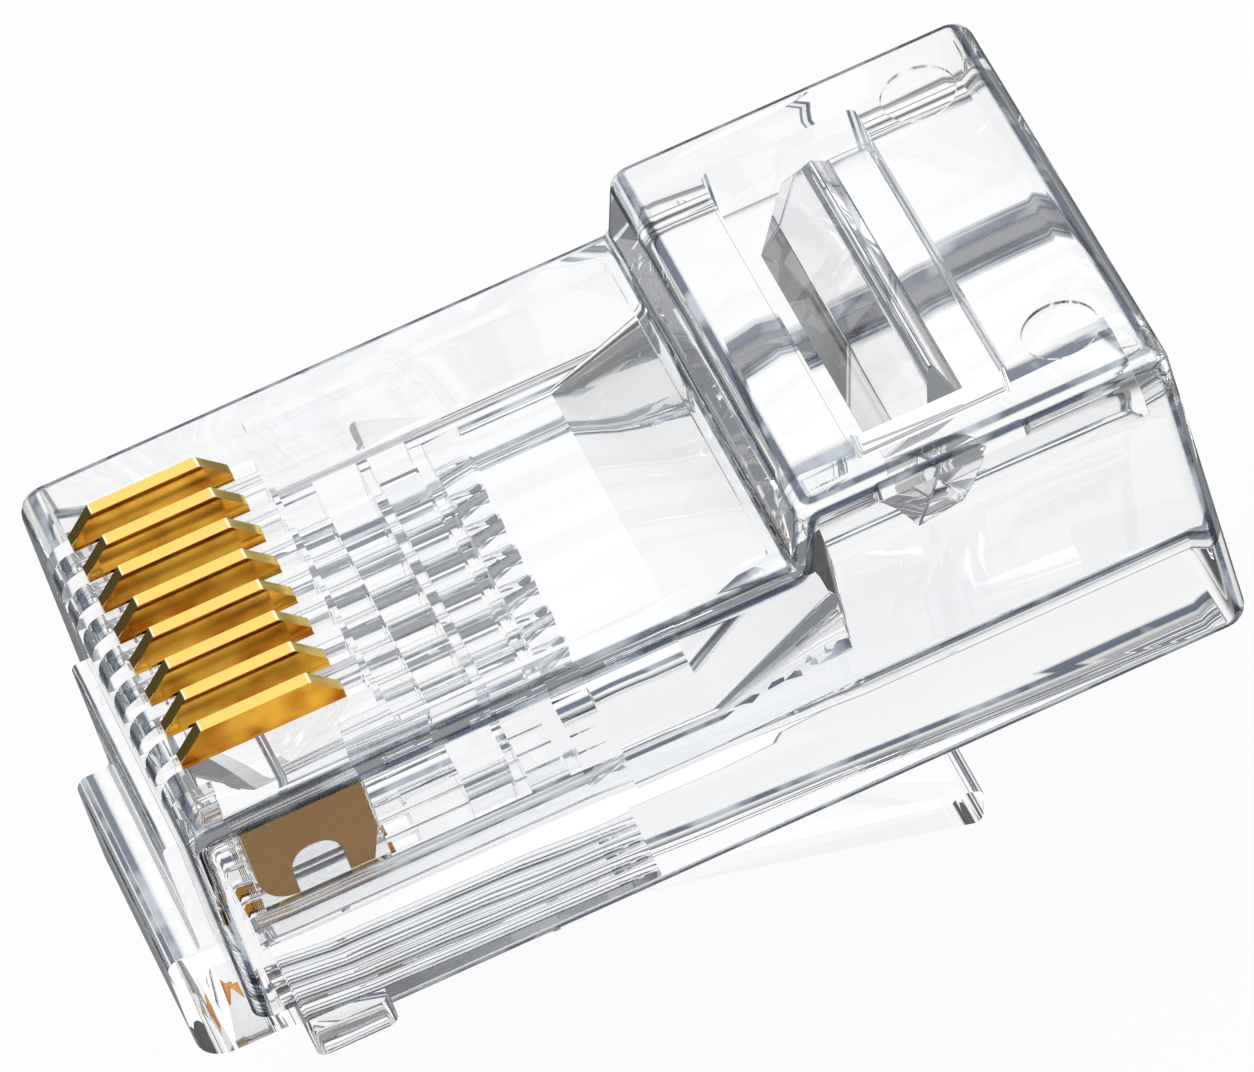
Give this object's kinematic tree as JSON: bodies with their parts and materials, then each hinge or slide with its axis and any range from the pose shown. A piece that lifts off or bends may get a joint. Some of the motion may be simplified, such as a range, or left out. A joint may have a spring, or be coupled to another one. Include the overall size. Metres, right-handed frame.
{
  "type": "rj45 modular plug",
  "caption": "Clear moulded eight-way modular plug with stepped body, gold insulation-piercing blades, springy latch lever and hinged cable strain relief bar",
  "frame": {"origin": "where the mid-plane, the plane of the body's underside and the nose face meet", "axes": "+X from the nose to the cable end, +Y across the contacts, +Z from the latch side up to the contacts"},
  "size_m": [0.0231, 0.0116, 0.0145],
  "materials": {
    "clear_plastic": "clear polished polycarbonate",
    "gold_plate": "polished gold plating"
  },
  "bodies": {
    "body": {"housing": "clear_plastic"},
    "latch": {"latch_tab": "clear_plastic"},
    "relief": {"strain_relief_bar": "clear_plastic"},
    "blade_1": {"contact_1": "gold_plate"},
    "blade_2": {"contact_2": "gold_plate"},
    "blade_3": {"contact_3": "gold_plate"},
    "blade_4": {"contact_4": "gold_plate"},
    "blade_5": {"contact_5": "gold_plate"},
    "blade_6": {"contact_6": "gold_plate"},
    "blade_7": {"contact_7": "gold_plate"},
    "blade_8": {"contact_8": "gold_plate"}
  },
  "joints": [
    {"name": "latch_press", "type": "hinge", "parent": "body", "child": "latch", "pos_m": [0.001, 0, -0.00095], "axis": [0, -1, 0], "range_deg": [0, 14], "stiffness_Nm_per_rad": 0.05},
    {"name": "relief_press", "type": "hinge", "parent": "body", "child": "relief", "pos_m": [0.01893, 0, 0.0071], "axis": [0, -1, 0], "range_deg": [0, 20]},
    {"name": "crimp_1", "type": "slide", "parent": "body", "child": "blade_1", "axis": [0, 0, -1], "range_m": [0, 0.00095]},
    {"name": "crimp_2", "type": "slide", "parent": "body", "child": "blade_2", "axis": [0, 0, -1], "range_m": [0, 0.00095]},
    {"name": "crimp_3", "type": "slide", "parent": "body", "child": "blade_3", "axis": [0, 0, -1], "range_m": [0, 0.00095]},
    {"name": "crimp_4", "type": "slide", "parent": "body", "child": "blade_4", "axis": [0, 0, -1], "range_m": [0, 0.00095]},
    {"name": "crimp_5", "type": "slide", "parent": "body", "child": "blade_5", "axis": [0, 0, -1], "range_m": [0, 0.00095]},
    {"name": "crimp_6", "type": "slide", "parent": "body", "child": "blade_6", "axis": [0, 0, -1], "range_m": [0, 0.00095]},
    {"name": "crimp_7", "type": "slide", "parent": "body", "child": "blade_7", "axis": [0, 0, -1], "range_m": [0, 0.00095]},
    {"name": "crimp_8", "type": "slide", "parent": "body", "child": "blade_8", "axis": [0, 0, -1], "range_m": [0, 0.00095]}
  ],
  "couplings": [
    {"joint": "crimp_2", "follows": "crimp_1", "ratio": 1},
    {"joint": "crimp_3", "follows": "crimp_1", "ratio": 1},
    {"joint": "crimp_4", "follows": "crimp_1", "ratio": 1},
    {"joint": "crimp_5", "follows": "crimp_1", "ratio": 1},
    {"joint": "crimp_6", "follows": "crimp_1", "ratio": 1},
    {"joint": "crimp_7", "follows": "crimp_1", "ratio": 1},
    {"joint": "crimp_8", "follows": "crimp_1", "ratio": 1}
  ]
}
